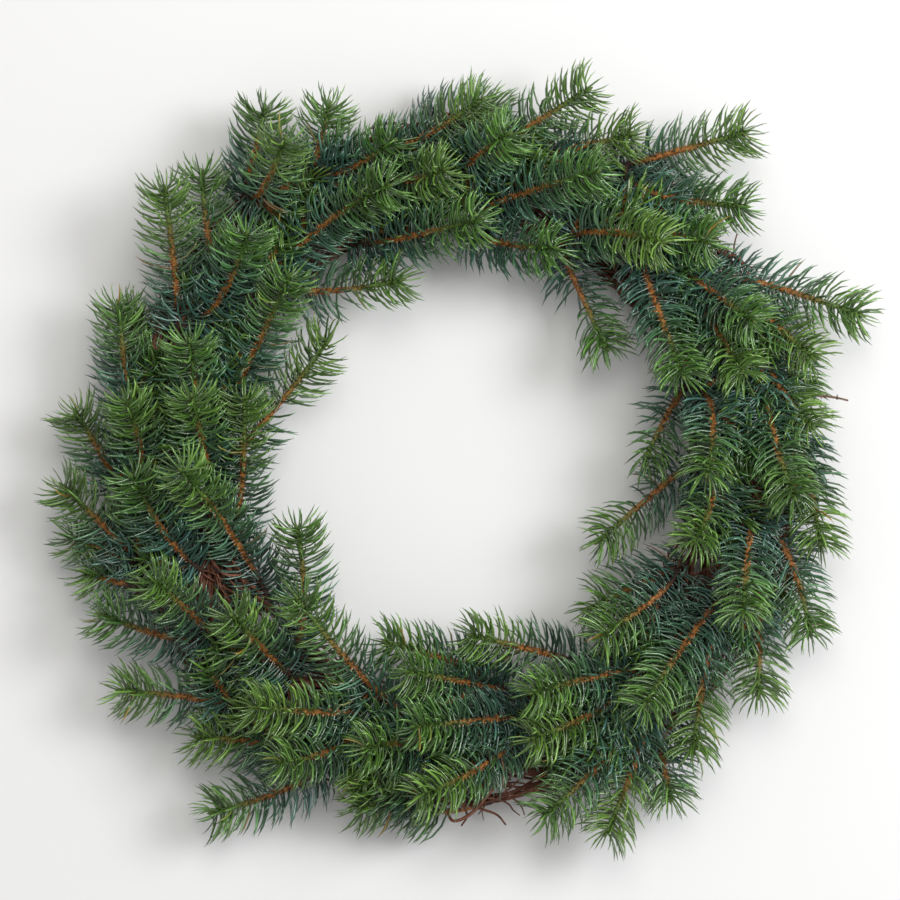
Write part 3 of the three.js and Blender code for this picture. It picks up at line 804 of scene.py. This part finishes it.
def grow_needles(foliage, layer, twig, tip_tone):
    first_turn = random.uniform(0, FULL_TURN)
    kinds = slender_needles if hangs_out(twig) > 0.5 else stout_needles
    for index, distance in enumerate(needle_places(twig)):
        centre, along, side, rise = twig.frame_at(min(distance, twig.length))
        centre = centre + along * max(0, distance - twig.length)
        to_foot = min(1, max(0, (twig.length - distance) / (twig.length - NEEDLES_FROM)))
        angle = first_turn + index * GOLDEN_ANGLE + random.uniform(-TURN_SPREAD, TURN_SPREAD)
        combed = combed_turn(angle, to_foot)
        bend, kind = random.choice(kinds)
        lean = CROWN_LEAN + (BASE_LEAN - CROWN_LEAN) * math.sqrt(to_foot) + random.gauss(0, LEAN_SPREAD)
        in_rosette = distance > twig.length - ROSETTE_DEPTH
        if in_rosette:
            lean = random.uniform(*ROSETTE_LEANS)
        start_lean = math.radians(max(LEAST_LEAN, lean)) + bend / 2
        across = (side * math.cos(combed) + rise * FLATNESS * math.sin(combed)).normalized()
        heading = along * math.cos(start_lean) + across * math.sin(start_lean)
        heading = Quaternion(along, random.gauss(0, ROLL_SPREAD)) @ heading
        forward = (along - heading * along.dot(heading)).normalized()
        forward = Quaternion(heading, random.gauss(0, CURL_SPREAD)) @ forward
        length = CROWN_LENGTH + (BASE_LENGTH - CROWN_LENGTH) * smoothstep(0, BASE_LENGTH_FROM, to_foot)
        length *= random.uniform(*LENGTH_SPREAD)
        if in_rosette:
            length *= MIDDLE_SHARE + (1 - MIDDLE_SHARE) * smoothstep(*ROSETTE_LEANS, lean)
        spoke = side * math.cos(angle) + rise * math.sin(angle)
        base = centre + spoke * TWIG_TIP_RADIUS * PEG_REACH
        turned = Matrix((forward, heading.cross(forward), heading)).transposed() * length
        placed = Matrix.Translation(base) @ turned.to_4x4()
        tip = placed @ Vector((math.sin(bend / 2), 0, 1))
        if tip.z < FLOOR_CLEARANCE or base.z < 0 or kept_clear(tip):
            continue
        plant(foliage, kind, placed, layer, (1 - to_foot, random.random(), tip_tone))


def add_share(nodes, links, value, share, rest):
    """Adds a share of one value to another."""
    added = add_node(nodes, "ShaderNodeMath", operation="MULTIPLY_ADD")
    added.inputs[1].default_value = share
    links.new(value, added.inputs[0])
    links.new(rest, added.inputs[2])
    return added.outputs[0]


def spruce_needle():
    """Reads what plant() noted: the place along the needle, its age, its own tone, which also makes a share
    of the needles whitish as painted glints, and its tip's tone.
    """
    material, nodes, links, shader = new_material("spruce needle", WAX)
    noted = add_node(nodes, "ShaderNodeAttribute", attribute_name="needle")
    parts = nodes.new("ShaderNodeSeparateColor")
    links.new(noted.outputs["Color"], parts.inputs[0])
    along, age, own_tone_and_glint = parts.outputs[:3]
    tip_tone = noted.outputs["Alpha"]
    place = nodes.new("ShaderNodeTexCoord").outputs["Object"]
    patchy = add_share(nodes, links, add_noise(nodes, links, place, 28), PATCHES, age)
    green = add_ramp(nodes, links, add_share(nodes, links, tip_tone, TIP_SHARE, patchy), AGES)
    # The needle's own tone multiplies the green, and it paints some needles pale and whitish as painted
    # glints.
    for value, stops in ((own_tone_and_glint, TONES_AND_PAINTED_GLINTS), (tip_tone, TIP_TINTS), (along, LENGTHWISE)):
        green = add_mix(nodes, links, green, add_ramp(nodes, links, value, stops), blend="MULTIPLY")
    wood = add_ramp(nodes, links, age, PEG_WOOD)
    wood = add_mix(nodes, links, wood, add_ramp(nodes, links, own_tone_and_glint, PEG_SPECKS), blend="MULTIPLY")
    woody = add_node(nodes, "ShaderNodeMath", operation="MULTIPLY")
    links.new(add_step(nodes, links, along, PEG_END, (1, 0)), woody.inputs[0])
    links.new(add_step(nodes, links, age, PEGS_BROWN_TO, (1, 0)), woody.inputs[1])
    links.new(add_mix(nodes, links, green, wood, woody.outputs[0]), shader.inputs["Base Color"])
    fine = add_noise(nodes, links, place, 900)
    add_bump(nodes, links, fine, shader, strength=0.35, distance=0.0002)
    return material


needle_material = spruce_needle()
for number, pick in enumerate(picks, 1):
    foliage = bmesh.new()
    needle_layer = foliage.verts.layers.float_color.new("needle")
    for twig in pick:
        grow_needles(foliage, needle_layer, twig, random.random())
    piece = finished(foliage, f"needles_{number:02}", needle_material)
    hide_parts(f"spray_{number:02}")
for _, kind in stout_needles + slender_needles:
    bpy.data.meshes.remove(kind)

# The stage: a white table top under soft daylight, strongest from the right, seen from straight above. The
# floor, the lamps and the camera are placed in metres.
FLOOR_SIZE = 6
FLOOR_LOOK = {"Base Color": (0.87, 0.87, 0.875, 1), "Roughness": 0.6}
DAYLIGHT_COLOUR, DAYLIGHT_STRENGTH = (1, 0.995, 0.985, 1), 0.45
SENSOR_WIDTH = 36
VIEW_WIDTH = 0.486
VIEW_DISTANCE = 2.5
VIEW_CENTRE = (-0.0043, 0.0065, 0.045)

floor = bmesh.new()
bmesh.ops.create_grid(floor, x_segments=1, y_segments=1, size=FLOOR_SIZE / 2)
floor_mesh = bpy.data.meshes.new("table_top")
floor.to_mesh(floor_mesh)
floor.free()
floor_mesh.materials.append(new_material("white table top", FLOOR_LOOK)[0])
table_top = bpy.data.objects.new("table_top", floor_mesh)
bpy.context.collection.objects.link(table_top)


def hang_lamp(name, place, size, energy, colour):
    """A square soft lamp that faces the wreath."""
    light = bpy.data.lights.new(name, "AREA")
    light.color = colour
    light.size = size
    light.energy = energy
    lamp = bpy.data.objects.new(name, light)
    lamp.location = place
    lamp.rotation_euler = (-lamp.location).to_track_quat("-Z", "Y").to_euler()
    bpy.context.collection.objects.link(lamp)


hang_lamp("window", place=(1.4, 0.45, 1.6), size=0.9, energy=29, colour=(0.98, 0.99, 1))
hang_lamp("skylight", place=(0.1, 0.8, 2.0), size=1, energy=13.5, colour=(1, 0.975, 0.93))

world = bpy.data.worlds.new("soft daylight")
world.use_nodes = True
world.node_tree.nodes["Background"].inputs["Color"].default_value = DAYLIGHT_COLOUR
world.node_tree.nodes["Background"].inputs["Strength"].default_value = DAYLIGHT_STRENGTH
bpy.context.scene.world = world
bpy.context.scene.view_settings.view_transform = "Standard"

lens = bpy.data.cameras.new("camera")
lens.sensor_width = SENSOR_WIDTH
lens.lens = SENSOR_WIDTH * VIEW_DISTANCE / VIEW_WIDTH
camera = bpy.data.objects.new("camera", lens)
camera.location = Vector(VIEW_CENTRE) + UP * VIEW_DISTANCE
bpy.context.collection.objects.link(camera)
bpy.context.scene.camera = camera
